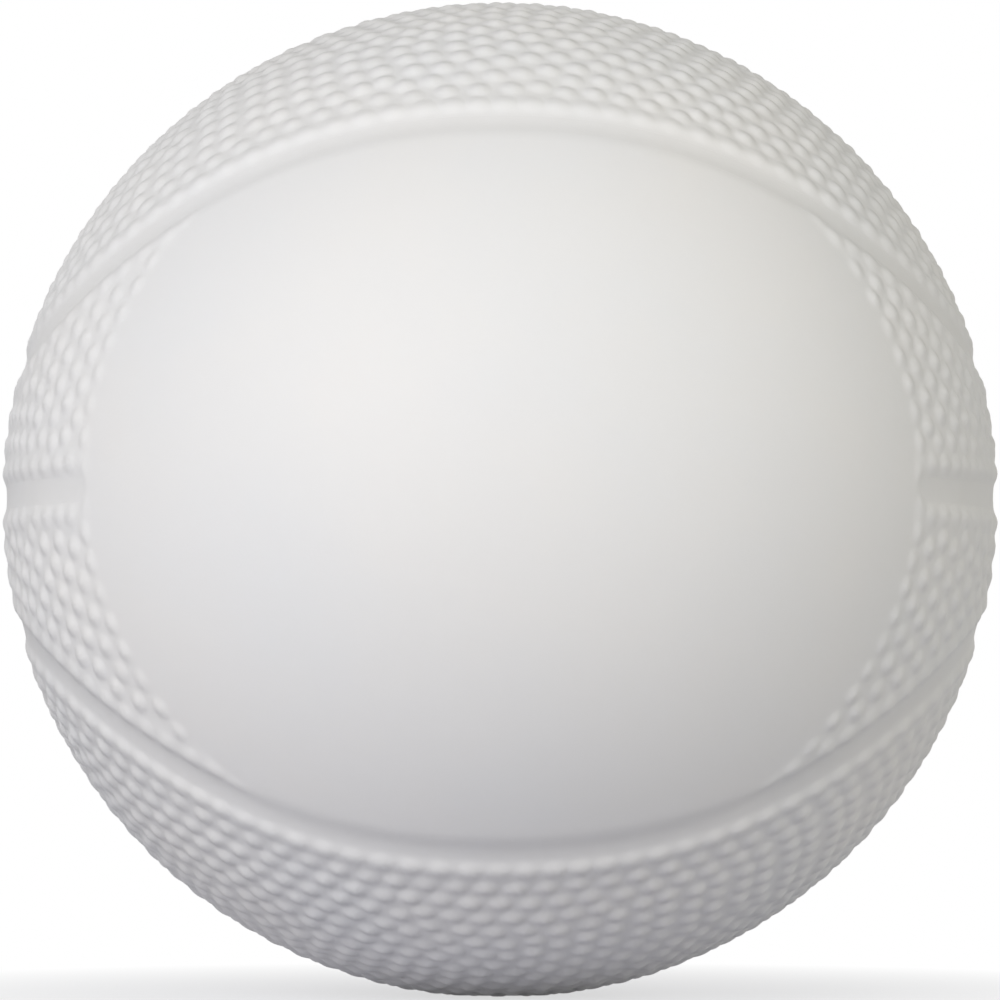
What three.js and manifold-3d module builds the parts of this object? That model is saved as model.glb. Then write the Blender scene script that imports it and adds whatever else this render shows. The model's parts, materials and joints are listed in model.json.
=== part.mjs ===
// A mini basketball of laminated construction, about 406 mm round.
//
// From the inside out it is an air bladder, a layer of wound thread, a moulded rubber carcass,
// rubber strips laid on the carcass along the seam lines, and cover panels laid between the strips.
// The strips are thinner than the panels, so each seam shows as a shallow channel between two
// rolled panel edges. A needle valve passes through every layer at the back.
//
// The seams are a meridian, an equator and two waisted loops, one round each pole. Seven panels
// fill them: four caps, two strips at the back, and one wide front panel. The front panel carries
// a smooth field, and there it bridges the equator, which only notches the panel's two ends.
//
// Millimetres, origin at the ball's centre, +Z up through the upper cap, front towards -Y.

import * as THREE from "three";
import { mergeVertices } from "three/addons/utils/BufferGeometryUtils.js";
import Module from "manifold-3d";

const { degToRad, radToDeg } = THREE.MathUtils;

// Driving dimensions of the ball and its layers.
const BALL_DIAMETER = 129.4;
const PANEL_THICKNESS = 1.8;
const STRIP_THICKNESS = 0.7;
const CARCASS_WALL = 1.2;
const WINDING_THICKNESS = 0.7;
const BLADDER_WALL = 1.0;
const GLUE_LINE = 0.3;

// The seam channels and the rolled panel edges beside them.
const CHANNEL_WIDTH = 5.6;
const EDGE_ROLL_WIDTH = 1.2;
const EDGE_ROLL_DEPTH = 1.0;
const STRIP_GAP = 0.3;

// The seam layout, in degrees. A loop is highest at the front and back, and lowest where it
// crosses the meridian; the belly fills it out halfway between.
const LOOP_HIGH_ELEVATION = 44.1;
const LOOP_LOW_ELEVATION = 14.5;
const LOOP_BELLY = 4.2;
const SMOOTH_FIELD_HALF_ANGLE = 52.5;

// The needle valve: a soft core in a flanged housing that is bonded inside the bladder. The needle
// hole ends blind, and below it two lips meet in a slit that the air pressure holds shut.
const VALVE_ELEVATION = 26;
const VALVE_RECESS = 0.4;
const NEEDLE_HOLE_DIAMETER = 1.6;
const NEEDLE_HOLE_DEPTH = 10;
const CORE_WALL = 1.1;
const CORE_HEAD_OVERHANG = 1.2;
const CORE_HEAD_THICKNESS = 0.9;
const CORE_LIP_LENGTH = 5;
const CORE_BULB_OVERHANG = 0.6;
const CORE_BULB_LENGTH = 3.4;
const CORE_SLIT_WIDTH = 0.25;
const CORE_FIT = 0.3;
const COLLAR_WALL = 1.0;
const COLLAR_CLEARANCE = 0.3;
const STEM_WALL = 1.3;
const STEM_END_THICKNESS = 1.7;
const STEM_MOUTH_SHARE = 0.6;
const FLANGE_WIDTH = 4.6;
const FLANGE_ROOT_THICKNESS = 1.8;
const FLANGE_RIM_THICKNESS = 0.8;

// How finely round forms are divided. Layers that face each other share a value, so that their
// facets lie parallel and the glue line between them stays even.
const COVER_DETAIL = 8;
const LAYER_DETAIL = 4;
const SEAM_STEP = 8;
const ROLL_STEPS = 2;
const NOTCH_END_STEPS = 4;
const VALVE_SIDES = 20;

// Radii of the layers, worked out from the outside in.
const ballRadius = BALL_DIAMETER / 2;
const panelInnerRadius = ballRadius - PANEL_THICKNESS;
const carcassOuterRadius = panelInnerRadius - GLUE_LINE;
const carcassInnerRadius = carcassOuterRadius - CARCASS_WALL;
const windingOuterRadius = carcassInnerRadius - GLUE_LINE;
const windingInnerRadius = windingOuterRadius - WINDING_THICKNESS;
const bladderOuterRadius = windingInnerRadius - GLUE_LINE;
const bladderInnerRadius = bladderOuterRadius - BLADDER_WALL;

// Half widths across a seam: at the channel's top, at the panel wall's foot, and of the strip.
const channelHalf = CHANNEL_WIDTH / 2;
const wallHalf = channelHalf - EDGE_ROLL_WIDTH;
const stripHalf = wallHalf - STRIP_GAP;
const stripInnerRadius = panelInnerRadius;
const stripOuterRadius = stripInnerRadius + STRIP_THICKNESS;

// The rounded end of each front notch starts here, so that its tip touches the smooth field.
const channelReach = radToDeg(channelHalf / ballRadius);
const notchEnd = SMOOTH_FIELD_HALF_ANGLE + channelReach;

// How far a cutter runs past what it cuts.
const CUT_MARGIN = 1;

const wasm = await Module();
wasm.setup();

// Solids and geometry

function toSolid(geometry) {
  const bare = geometry.clone();
  for (const name of Object.keys(bare.attributes)) {
    if (name !== "position") bare.deleteAttribute(name);
  }
  const merged = mergeVertices(bare, 1e-4);
  const triVerts = new Uint32Array(merged.index.array);
  const vertProperties = merged.attributes.position.array;
  const solid = new wasm.Manifold(new wasm.Mesh({ numProp: 3, vertProperties, triVerts }));
  if (solid.volume() > 0) return solid;
  for (let i = 0; i < triVerts.length; i += 3) {
    [triVerts[i + 1], triVerts[i + 2]] = [triVerts[i + 2], triVerts[i + 1]];
  }
  return new wasm.Manifold(new wasm.Mesh({ numProp: 3, vertProperties, triVerts }));
}

function toGeometry(solid) {
  const mesh = solid.getMesh();
  const geometry = new THREE.BufferGeometry();
  geometry.setAttribute("position", new THREE.BufferAttribute(mesh.vertProperties, 3));
  geometry.setIndex(new THREE.BufferAttribute(mesh.triVerts, 1));
  geometry.computeVertexNormals();
  return geometry;
}

const sphere = (radius, detail) => toSolid(new THREE.IcosahedronGeometry(radius, detail));

const shell = (outerRadius, outerDetail, innerRadius) =>
  sphere(outerRadius, outerDetail).subtract(sphere(innerRadius, LAYER_DETAIL));

// Seam lines. Each returns a unit direction from the ball's centre. Azimuth is counted from the
// front, towards +X.

function direction(azimuth, elevation) {
  const across = Math.cos(degToRad(elevation));
  return new THREE.Vector3(
    across * Math.sin(degToRad(azimuth)),
    -across * Math.cos(degToRad(azimuth)),
    Math.sin(degToRad(elevation)),
  );
}

function loopElevation(azimuth) {
  const turn = degToRad(azimuth);
  const middle = (LOOP_HIGH_ELEVATION + LOOP_LOW_ELEVATION) / 2;
  const swing = (LOOP_HIGH_ELEVATION - LOOP_LOW_ELEVATION) / 2;
  return middle + swing * Math.cos(2 * turn) + (LOOP_BELLY * (1 - Math.cos(4 * turn))) / 2;
}

const equator = (azimuth) => direction(azimuth, 0);
const upperLoop = (azimuth) => direction(azimuth, loopElevation(azimuth));
const lowerLoop = (azimuth) => direction(azimuth, -loopElevation(azimuth));

function meridian(turn) {
  const angle = degToRad(turn);
  return new THREE.Vector3(Math.sin(angle), 0, Math.cos(angle));
}

// One station of a seam: where it is, and which way is square across it.
function stationOn(seam, at) {
  const nudge = 0.01;
  const here = seam(at);
  const along = seam(at + nudge).sub(seam(at - nudge)).normalize();
  const across = new THREE.Vector3().crossVectors(here, along).normalize();
  return { here, across };
}

// Angles that divide a stretch of seam into even steps, both ends included.
function stepsBetween(start, end) {
  const count = Math.ceil(Math.abs(end - start) / SEAM_STEP);
  return Array.from({ length: count + 1 }, (_, i) => start + ((end - start) * i) / count);
}

// Lays a section across one station. A section point is [distance across, radius], with the
// distance measured on the ball's outside, so that the section's sides run towards the centre.
function ringAt({ here, across }, section, widthShare = 1) {
  return section.map(([offset, radius]) => {
    const angle = (offset * widthShare) / ballRadius;
    return here
      .clone()
      .multiplyScalar(Math.cos(angle))
      .addScaledVector(across, Math.sin(angle))
      .multiplyScalar(radius);
  });
}

// Joins rings of equal length into one solid, either end to end or closed with two caps.
function loft(rings, section, closed) {
  const size = section.length;
  const positions = rings.flat().flatMap((point) => point.toArray());
  const faces = [];
  const spans = closed ? rings.length : rings.length - 1;
  for (let i = 0; i < spans; i++) {
    const next = (i + 1) % rings.length;
    for (let j = 0; j < size; j++) {
      const k = (j + 1) % size;
      faces.push(i * size + j, next * size + j, next * size + k);
      faces.push(i * size + j, next * size + k, i * size + k);
    }
  }
  if (!closed) {
    const outline = section.map(([offset, radius]) => new THREE.Vector2(offset, radius));
    const last = (rings.length - 1) * size;
    for (const [a, b, c] of THREE.ShapeUtils.triangulateShape(outline, [])) {
      faces.push(a, b, c);
      faces.push(last + a, last + c, last + b);
    }
  }
  const geometry = new THREE.BufferGeometry();
  geometry.setAttribute("position", new THREE.Float32BufferAttribute(positions, 3));
  geometry.setIndex(faces);
  return toSolid(geometry);
}

function ringAlong(seam, section) {
  const rings = stepsBetween(0, 360)
    .slice(0, -1)
    .map((at) => ringAt(stationOn(seam, at), section));
  return loft(rings, section, true);
}

function stretchAlong(seam, start, end, section) {
  const rings = stepsBetween(start, end).map((at) => ringAt(stationOn(seam, at), section));
  return loft(rings, section, false);
}

// The equator's channel, through the back from one front notch to the other. Each end narrows
// along a quarter circle in plan, and reaches half a channel past the azimuth it is given.
function notchedEquator(fromAzimuth, toAzimuth, section) {
  const roundEnd = (azimuth, outward) =>
    Array.from({ length: NOTCH_END_STEPS }, (_, i) => {
      const turn = (Math.PI / 2) * ((i + 1) / (NOTCH_END_STEPS + 1));
      const reach = channelReach * Math.sin(turn);
      return ringAt(stationOn(equator, azimuth + outward * reach), section, Math.cos(turn));
    });
  const middle = stepsBetween(fromAzimuth, toAzimuth).map((at) =>
    ringAt(stationOn(equator, at), section),
  );
  const rings = [...roundEnd(fromAzimuth, -1).reverse(), ...middle, ...roundEnd(toAzimuth, 1)];
  return loft(rings, section, false);
}

// The seam channel

// One side of the channel, from the panel wall's foot up the rolled edge to the outside.
function rolledEdge() {
  return Array.from({ length: ROLL_STEPS + 1 }, (_, i) => {
    const turn = (Math.PI / 2) * (i / ROLL_STEPS);
    return [
      channelHalf - EDGE_ROLL_WIDTH * Math.cos(turn),
      ballRadius - EDGE_ROLL_DEPTH * (1 - Math.sin(turn)),
    ];
  });
}

function channelSection() {
  const side = rolledEdge();
  const right = [[wallHalf, panelInnerRadius - CUT_MARGIN], ...side];
  right.push([channelHalf, ballRadius + CUT_MARGIN]);
  const left = right.map(([offset, radius]) => [-offset, radius]).reverse();
  return [...right, ...left];
}

function channels() {
  const section = channelSection();
  return ringAlong(meridian, section)
    .add(ringAlong(upperLoop, section))
    .add(ringAlong(lowerLoop, section))
    .add(notchedEquator(notchEnd, 360 - notchEnd, section));
}

// The valve, turned about its own axis. Heights are distances from the ball's centre.

const valveAxis = direction(180, VALVE_ELEVATION);
const needleRadius = NEEDLE_HOLE_DIAMETER / 2;
const coreShankRadius = needleRadius + CORE_WALL;
const coreHeadRadius = coreShankRadius + CORE_HEAD_OVERHANG;
const coreBulbRadius = coreShankRadius + CORE_BULB_OVERHANG;
const seatRadius = coreHeadRadius + CORE_FIT;
const collarRadius = seatRadius + COLLAR_WALL;
const valveHoleRadius = collarRadius + COLLAR_CLEARANCE;
const boreRadius = coreShankRadius + CORE_FIT;
const pocketRadius = coreBulbRadius + CORE_FIT;
const valveFace = Math.sqrt(ballRadius ** 2 - valveHoleRadius ** 2) - VALVE_RECESS;
const seatHeight = valveFace - CORE_HEAD_THICKNESS - CORE_FIT;
const needleHoleEnd = valveFace - NEEDLE_HOLE_DEPTH;
const coreEnd = needleHoleEnd - CORE_LIP_LENGTH;
const bulbTop = coreEnd + CORE_BULB_LENGTH;
const pocketEnd = coreEnd - CORE_FIT;
const stemEnd = pocketEnd - STEM_END_THICKNESS;
const stemRadius = pocketRadius + STEM_WALL;
const mouthRadius = coreBulbRadius * STEM_MOUTH_SHARE;
const flangeRadius = collarRadius + FLANGE_WIDTH;
const flangeTop = bladderInnerRadius - GLUE_LINE;

const valveTurn = new THREE.Quaternion().setFromUnitVectors(
  new THREE.Vector3(0, 1, 0),
  valveAxis,
);

const lathe = (profile) =>
  toSolid(
    new THREE.LatheGeometry(
      profile.map(([radius, height]) => new THREE.Vector2(radius, height)),
      VALVE_SIDES,
    ),
  );

// The height at which a layer of this radius lies, this far out from the valve's axis.
const layerHeight = (layerRadius, distance) => Math.sqrt(layerRadius ** 2 - distance ** 2);

// The flange is trimmed by the facets of the bladder's inner wall, a glue line inside them.
function flangeSolid() {
  const rootUnder = layerHeight(flangeTop, stemRadius) - FLANGE_ROOT_THICKNESS;
  const rimUnder = layerHeight(flangeTop, flangeRadius) - FLANGE_RIM_THICKNESS;
  const blank = [
    [stemRadius - STEM_WALL / 2, bladderInnerRadius],
    [stemRadius - STEM_WALL / 2, rootUnder],
    [stemRadius, rootUnder],
    [flangeRadius, rimUnder],
    [flangeRadius, bladderInnerRadius],
  ];
  const wall = new THREE.IcosahedronGeometry(flangeTop, LAYER_DETAIL);
  wall.applyQuaternion(valveTurn.clone().invert());
  return lathe([...blank, blank[0]]).intersect(toSolid(wall));
}

function housingSolid() {
  const collarEnd = layerHeight(flangeTop, collarRadius) - FLANGE_ROOT_THICKNESS;
  const profile = [
    [seatRadius, seatHeight],
    [seatRadius, valveFace],
    [collarRadius, valveFace],
    [collarRadius, collarEnd],
    [stemRadius, collarEnd - (collarRadius - stemRadius)],
    [stemRadius, bulbTop],
    [stemRadius - STEM_WALL / 2, stemEnd],
    [mouthRadius, stemEnd],
    [mouthRadius, pocketEnd],
    [pocketRadius, pocketEnd],
    [pocketRadius, bulbTop + CORE_FIT],
    [boreRadius, bulbTop + CORE_FIT],
    [boreRadius, seatHeight],
  ];
  return lathe([...profile, profile[0]]).add(flangeSolid());
}

function coreSolid() {
  const bulbEndRadius = (coreBulbRadius + needleRadius) / 2;
  const plug = lathe([
    [0, needleHoleEnd],
    [needleRadius, needleHoleEnd],
    [needleRadius, valveFace],
    [coreHeadRadius, valveFace],
    [coreHeadRadius, valveFace - CORE_HEAD_THICKNESS],
    [coreShankRadius, valveFace - CORE_HEAD_THICKNESS],
    [coreShankRadius, bulbTop],
    [coreBulbRadius, bulbTop],
    [coreBulbRadius, (bulbTop + coreEnd) / 2],
    [bulbEndRadius, coreEnd],
    [0, coreEnd],
  ]);
  const slitHeight = needleHoleEnd - coreEnd + 2 * CUT_MARGIN;
  const slit = new THREE.BoxGeometry(NEEDLE_HOLE_DIAMETER, slitHeight, CORE_SLIT_WIDTH);
  slit.translate(0, (needleHoleEnd + coreEnd) / 2, 0);
  return plug.subtract(toSolid(slit));
}

// The round hole that lets the valve's collar through every layer.
function valveHole() {
  const length = ballRadius - bladderInnerRadius + 4 * CUT_MARGIN;
  const hole = new THREE.CylinderGeometry(valveHoleRadius, valveHoleRadius, length, VALVE_SIDES);
  hole.translate(0, ballRadius + 2 * CUT_MARGIN - length / 2, 0);
  hole.applyQuaternion(valveTurn);
  return toSolid(hole);
}

// Materials

const material = (color, roughness) =>
  new THREE.MeshStandardMaterial({ color, roughness, metalness: 0 });
const coverRubber = material(0xe4e3e1, 0.55);
const stripRubber = material(0xdddcda, 0.6);
const carcassRubber = material(0x35342f, 0.8);
const nylonThread = material(0xd8d0b8, 0.7);
const butylRubber = material(0x1b1b1c, 0.5);
const valveRubber = material(0x2a2a2b, 0.6);

const ball = new THREE.Group();

function addMesh(parent, name, geometry, finish) {
  const mesh = new THREE.Mesh(geometry, finish);
  mesh.name = name;
  parent.add(mesh);
}

// The layers inside the cover

const hole = valveHole();
const layers = [
  ["bladder", butylRubber, bladderOuterRadius, bladderInnerRadius],
  ["winding", nylonThread, windingOuterRadius, windingInnerRadius],
  ["carcass", carcassRubber, carcassOuterRadius, carcassInnerRadius],
];
for (const [name, finish, outerRadius, innerRadius] of layers) {
  const layer = shell(outerRadius, LAYER_DETAIL, innerRadius).subtract(hole);
  addMesh(ball, name, toGeometry(layer), finish);
}

// The cover panels: one shell, parted by the channels, each piece named by where its middle lies.

const stripMiddle = LOOP_HIGH_ELEVATION / 2;
const capMiddle = (LOOP_HIGH_ELEVATION + 90) / 2;
const panelMiddles = {
  front_panel: direction(0, 0),
  back_upper_strip_panel: direction(180, stripMiddle),
  back_lower_strip_panel: direction(180, -stripMiddle),
  front_upper_cap_panel: direction(0, capMiddle),
  back_upper_cap_panel: direction(180, capMiddle),
  front_lower_cap_panel: direction(0, -capMiddle),
  back_lower_cap_panel: direction(180, -capMiddle),
};

function middleOf(solid) {
  const { vertProperties } = solid.getMesh();
  const sum = new THREE.Vector3();
  for (let i = 0; i < vertProperties.length; i += 3) {
    sum.add(new THREE.Vector3(vertProperties[i], vertProperties[i + 1], vertProperties[i + 2]));
  }
  return sum.normalize();
}

function nameOfPanel(solid) {
  const middle = middleOf(solid);
  const closeness = (name) => panelMiddles[name].dot(middle);
  return Object.keys(panelMiddles).reduce((best, name) =>
    closeness(name) > closeness(best) ? name : best,
  );
}

const cover = shell(ballRadius, COVER_DETAIL, panelInnerRadius);
for (const panel of cover.subtract(channels()).subtract(hole).decompose()) {
  addMesh(ball, nameOfPanel(panel), toGeometry(panel), coverRubber);
}

// The seam strips. The meridian strip runs right round, and the others butt against it.

const stripSection = [
  [-stripHalf, stripInnerRadius],
  [stripHalf, stripInnerRadius],
  [stripHalf, stripOuterRadius],
  [-stripHalf, stripOuterRadius],
];

// The azimuth at which a seam strip stops short of the meridian's strip. The loops cross the
// meridian square, at their lowest elevation.
const buttAzimuth = (elevation) =>
  90 - radToDeg(Math.asin((stripHalf + STRIP_GAP) / ballRadius / Math.cos(degToRad(elevation))));

const equatorButt = buttAzimuth(0);
const loopButt = buttAzimuth(LOOP_LOW_ELEVATION);
const stripEnd = notchEnd - radToDeg((stripHalf - STRIP_GAP) / ballRadius);

const strips = {
  meridian_strip: ringAlong(meridian, stripSection),
  equator_back_strip: stretchAlong(equator, 180 - equatorButt, 180 + equatorButt, stripSection),
  equator_right_strip: stretchAlong(equator, stripEnd, equatorButt, stripSection),
  equator_left_strip: stretchAlong(equator, -equatorButt, -stripEnd, stripSection),
};
for (const [name, loop] of [["upper", upperLoop], ["lower", lowerLoop]]) {
  strips[`${name}_loop_front_strip`] = stretchAlong(loop, -loopButt, loopButt, stripSection);
  strips[`${name}_loop_back_strip`] = stretchAlong(
    loop,
    180 - loopButt,
    180 + loopButt,
    stripSection,
  );
}
for (const [name, solid] of Object.entries(strips)) {
  addMesh(ball, name, toGeometry(solid), stripRubber);
}

// The valve, in a group turned to its axis.

const valve = new THREE.Group();
valve.quaternion.copy(valveTurn);
addMesh(valve, "valve_housing", toGeometry(housingSolid()), valveRubber);
addMesh(valve, "valve_core", toGeometry(coreSolid()), valveRubber);
ball.add(valve);

export default ball;
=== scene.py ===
# %% [markdown]
# # A white mini basketball
#
# This lesson dresses a ball whose construction is already fixed: a bladder, a thread winding and a
# carcass, covered by seven panels with eight strips of rubber in the seams between them. The frame
# holds those pieces as plain solids. Here each visible one is modelled again as a fine mesh, with
# rounded channels and real pebbles, and gets the finish of moulded white rubber.
#
# Lengths are in metres. Angles that describe the ball are typed in degrees, and the functions work
# in radians. The origin is the ball's centre, +Z is up, and the front of the ball looks along -Y.

# %% Load the frame
import json
import math

import bmesh
import bpy
import numpy as np
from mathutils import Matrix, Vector, kdtree


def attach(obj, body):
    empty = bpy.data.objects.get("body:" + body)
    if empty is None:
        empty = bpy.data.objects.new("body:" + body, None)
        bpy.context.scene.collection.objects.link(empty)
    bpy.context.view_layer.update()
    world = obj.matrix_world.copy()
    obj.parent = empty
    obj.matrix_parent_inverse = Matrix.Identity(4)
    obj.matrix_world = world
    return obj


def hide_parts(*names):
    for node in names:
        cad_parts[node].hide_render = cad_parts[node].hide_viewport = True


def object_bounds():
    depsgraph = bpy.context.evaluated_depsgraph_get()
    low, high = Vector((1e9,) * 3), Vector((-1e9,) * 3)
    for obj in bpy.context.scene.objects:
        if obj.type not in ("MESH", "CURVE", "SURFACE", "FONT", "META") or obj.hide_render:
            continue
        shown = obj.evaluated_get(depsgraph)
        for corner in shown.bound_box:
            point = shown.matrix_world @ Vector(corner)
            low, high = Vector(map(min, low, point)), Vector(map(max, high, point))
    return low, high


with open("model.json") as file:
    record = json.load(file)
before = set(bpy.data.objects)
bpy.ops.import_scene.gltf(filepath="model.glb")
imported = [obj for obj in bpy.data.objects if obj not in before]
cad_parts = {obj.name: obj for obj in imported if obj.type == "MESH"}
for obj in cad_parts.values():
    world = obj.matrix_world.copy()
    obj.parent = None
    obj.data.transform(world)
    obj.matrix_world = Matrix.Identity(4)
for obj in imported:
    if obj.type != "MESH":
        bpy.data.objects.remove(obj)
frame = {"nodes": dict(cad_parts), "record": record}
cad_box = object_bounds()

MM = 0.001
cad_size = [high - low for low, high in zip(*cad_box)]
print("frame:", len(frame["nodes"]), "nodes, box in mm", [round(side / MM, 2) for side in cad_size])

# %% [markdown]
# ## The ball's measures
#
# The frame gives the size: the pebbles' tops reach as far as its box is high. The rest are the real
# sizes of the cover: how wide and deep a seam channel is, how far apart the pebbles lie, and how
# high they stand. The panels end inside the channel, where the seam strip takes over.

# %% Measures
BALL_RADIUS = cad_size[2] / 2
PEBBLE_HEIGHT = 0.50 * MM
PEBBLE_PITCH = 3.7 * MM
CHANNEL_HALF = 3.4 * MM
CHANNEL_DEPTH = 0.20 * MM
STRIP_HALF = 1.6 * MM
COVER_SEAT = 1.65 * MM

base_radius = BALL_RADIUS - PEBBLE_HEIGHT
seat_radius = BALL_RADIUS - COVER_SEAT
print("ball radius", round(BALL_RADIUS / MM, 2), "mm, seat radius", round(seat_radius / MM, 2), "mm")

# %% [markdown]
# ## Where the seams run
#
# A basketball has four seams. Two are great circles, here called the equator and the meridian, and
# they cross at the ball's left and right. The other two are loops round the poles, pulled down at
# the sides. A loop is a formula: its elevation as a function of the azimuth, which counts from the
# front. Working with directions from the centre keeps the seams exact at every radius.

# %% Seam formulas
LOOP_HIGH = 44.1
LOOP_LOW = 14.5
LOOP_BELLY = 4.2
TINY = 1e-12


def loop_elevation(azimuth):
    """The upper loop's elevation at an azimuth, both in radians."""
    middle = (LOOP_HIGH + LOOP_LOW) / 2
    swing = (LOOP_HIGH - LOOP_LOW) / 2
    belly = LOOP_BELLY * (1 - np.cos(4 * azimuth)) / 2
    return np.radians(middle + swing * np.cos(2 * azimuth) + belly)


def direction(azimuth, elevation):
    """Unit directions, one a row, for azimuths and elevations in radians."""
    level = np.cos(elevation)
    return np.stack([level * np.sin(azimuth), -level * np.cos(azimuth), np.sin(elevation)], axis=-1)


def loop_point(azimuth):
    return direction(azimuth, loop_elevation(azimuth))


def unit(rows):
    """Rows of numbers, each scaled to a length of 1."""
    return rows / np.maximum(np.linalg.norm(rows, axis=-1, keepdims=True), TINY)


print("loop over the front at", round(math.degrees(loop_elevation(0.0)), 1), "degrees")

# %% [markdown]
# ## How far a point is from a seam
#
# Everything on the cover follows from one question: how far is this point from that seam, and which
# way leads across it? For a great circle the answer is plain geometry. For a loop there is no
# closed answer, so a few Newton steps slide a foot along the loop until it is nearest. The distance
# is measured over the ball, in metres. It is positive on the upper side of the equator, on the rear
# side of the meridian, and inside a loop, where its pole is.

# %% Distance to a seam
FOOT_STEPS = 5
FOOT_NUDGE = 2e-3
FOOT_STRIDE = 100


def from_circle(points, axis):
    """The foot on the great circle square to an axis, the way across it, and the distance."""
    side = np.zeros(3)
    side["xyz".index(axis)] = 1
    reach = points @ side
    foot = unit(points - reach[:, None] * side)
    across = np.broadcast_to(side, points.shape)
    return foot, across, np.arcsin(np.clip(reach, -1, 1)) * BALL_RADIUS


def from_loop(points):
    """The same for the upper loop."""
    azimuth = np.arctan2(points[:, 0], -points[:, 1])

    def closeness(at):
        return (points * loop_point(at)).sum(axis=1)

    for _ in range(FOOT_STEPS):
        behind, here, ahead = (closeness(azimuth + shift * FOOT_NUDGE) for shift in (-1, 0, 1))
        bend = ahead - 2 * here + behind
        slope = (ahead - behind) / 2
        step = np.where(bend < 0, -slope / np.where(bend < 0, bend, -1), 0)
        azimuth = azimuth + FOOT_NUDGE * np.clip(step, -FOOT_STRIDE, FOOT_STRIDE)
    foot = loop_point(azimuth)
    along = loop_point(azimuth + FOOT_NUDGE) - loop_point(azimuth - FOOT_NUDGE)
    across = unit(np.cross(foot, along))
    offset = (points * across).sum(axis=1)
    return foot, across, np.arctan2(offset, (points * foot).sum(axis=1)) * BALL_RADIUS


def from_seam(points, seam):
    """The foot, the way across and the distance for a seam by name."""
    if seam == "meridian":
        return from_circle(points, "y")
    if seam == "equator":
        return from_circle(points, "z")
    flip = np.array([1, 1, -1 if seam == "lower loop" else 1])
    foot, across, distance = from_loop(points * flip)
    return foot * flip, across * flip, distance


probe = direction(np.array([0.3]), loop_elevation(np.array([0.3])) + 0.05)
probe_distance = from_seam(probe, "upper loop")[2][0]
print("0.05 radians above the loop is", round(probe_distance / MM, 2), "mm off it")

# %% [markdown]
# ## The smooth field
#
# The middle of the front has no pebbles and no seam. Its outline is nearly a circle round the
# front's middle, so an angle from there describes it. The photographed outline lies a little high,
# and is drawn in at its four corners, where it meets the loops. They cut it off above and below.

# %% The field's outline
SMOOTH_FIELD_ANGLE = 52.5
FIELD_CORNER = 2.0
FIELD_HIGH = 2.2


def field_run(points):
    """The distance outside the smooth field's outline, as if no loop cut it off."""
    rise = unit(points[:, [0, 2]])[:, 1]
    edge = SMOOTH_FIELD_ANGLE - FIELD_CORNER * 4 * rise**2 * (1 - rise**2) + FIELD_HIGH * rise
    return (np.arccos(np.clip(-points[:, 1], -1, 1)) - np.radians(edge)) * BALL_RADIUS


def field_gap(points, gaps):
    """The distance outside the smooth field, which the loops clip above and below."""
    return np.maximum(field_run(points), gaps[2])


front_middle = np.array([[0.0, -1.0, 0.0]])
print("smooth field's half width over the ball", round(-field_run(front_middle)[0] / MM, 1), "mm")

# %% [markdown]
# ## The channel's shape
#
# The photographed channel is a soft U: a rounded shoulder, a concave floor, and no edge anywhere.
# Half a cosine wave has that form. Where two seams cross, both channels are cut and the corner
# between them is eased, so the depths are joined by a power sum that is smoother than the larger of
# the two. On the front the equator's channel runs out gently at the smooth field. The loops'
# deepest line lies half a millimetre on the pole's side of their strips' middle.

# %% Channel depth over the ball
CORNER_EASE = 5
LOOP_SHIFT = 0.5 * MM
NOTCH_FADE = 6.0 * MM
NOTCH_LEAD = 2.9 * MM
NOTCH_START = math.radians(SMOOTH_FIELD_ANGLE) + NOTCH_LEAD / BALL_RADIUS


def smooth_step(value):
    """0 below 0, 1 above 1, and eased between."""
    share = np.clip(value, 0, 1)
    return share * share * (3 - 2 * share)


def groove(distance):
    """One channel's depth at a distance from its middle line."""
    inside = np.clip(np.abs(distance) / CHANNEL_HALF, 0, 1)
    return CHANNEL_DEPTH * (0.5 + 0.5 * np.cos(math.pi * inside))


def equator_gap(points):
    """The distance to the equator's channel, which the smooth front field interrupts."""
    azimuth = np.arctan2(points[:, 0], -points[:, 1])
    gap = np.abs(np.arcsin(np.clip(points[:, 2], -1, 1))) * BALL_RADIUS
    tip = direction(np.where(azimuth < 0, -NOTCH_START, NOTCH_START), np.zeros_like(azimuth))
    to_tip = np.arccos(np.clip((points * tip).sum(axis=1), -1, 1)) * BALL_RADIUS
    return np.where(np.abs(azimuth) < NOTCH_START, to_tip, gap)


def seam_gaps(points):
    """The distances to the meridian, the equator and the nearer loop, the last positive inside it."""
    upper = points * np.where(points[:, 2:] < 0, [1, 1, -1], 1)
    loop = from_loop(upper)[2] - LOOP_SHIFT
    return np.array([np.abs(from_seam(points, "meridian")[2]), equator_gap(points), loop])


def channel_depth(gaps, points):
    """How deep all channels are together. The equator's runs out gently at the smooth field."""
    depths = groove(gaps)
    depths[1] *= smooth_step(field_run(points) / NOTCH_FADE)
    joined = (depths**CORNER_EASE).sum(axis=0) ** (1 / CORNER_EASE)
    return np.minimum(joined, CHANNEL_DEPTH)


print("channel", round(groove(0.0) / MM, 2), "mm deep and", round(2 * CHANNEL_HALF / MM, 1), "mm wide")

# %% [markdown]
# ## Where the pebbles lie
#
# The mould of a basketball cover is engraved with thousands of low domes, packed like oranges in a
# crate. Beside a seam or the smooth field they line up with its edge, and the rows of one edge
# drift into those of the next with small faults. So the first thing to know is where the ground is
# bare: in the channels, on the smooth field, and on a round pad about the valve.

# %% Bare ground
BEAD_CLEARANCE = -0.25 * MM
FIELD_CLEARANCE = 1.6 * MM
VALVE_PAD_RADIUS = 7.0 * MM

valve_mount = next(mount for mount in frame["record"]["mounts"] if mount["name"] == "valve_face")
valve_axis = np.array(valve_mount["axis"]) / np.linalg.norm(valve_mount["axis"])
valve_face = float(np.dot(valve_mount["pos_m"], valve_axis))


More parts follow.
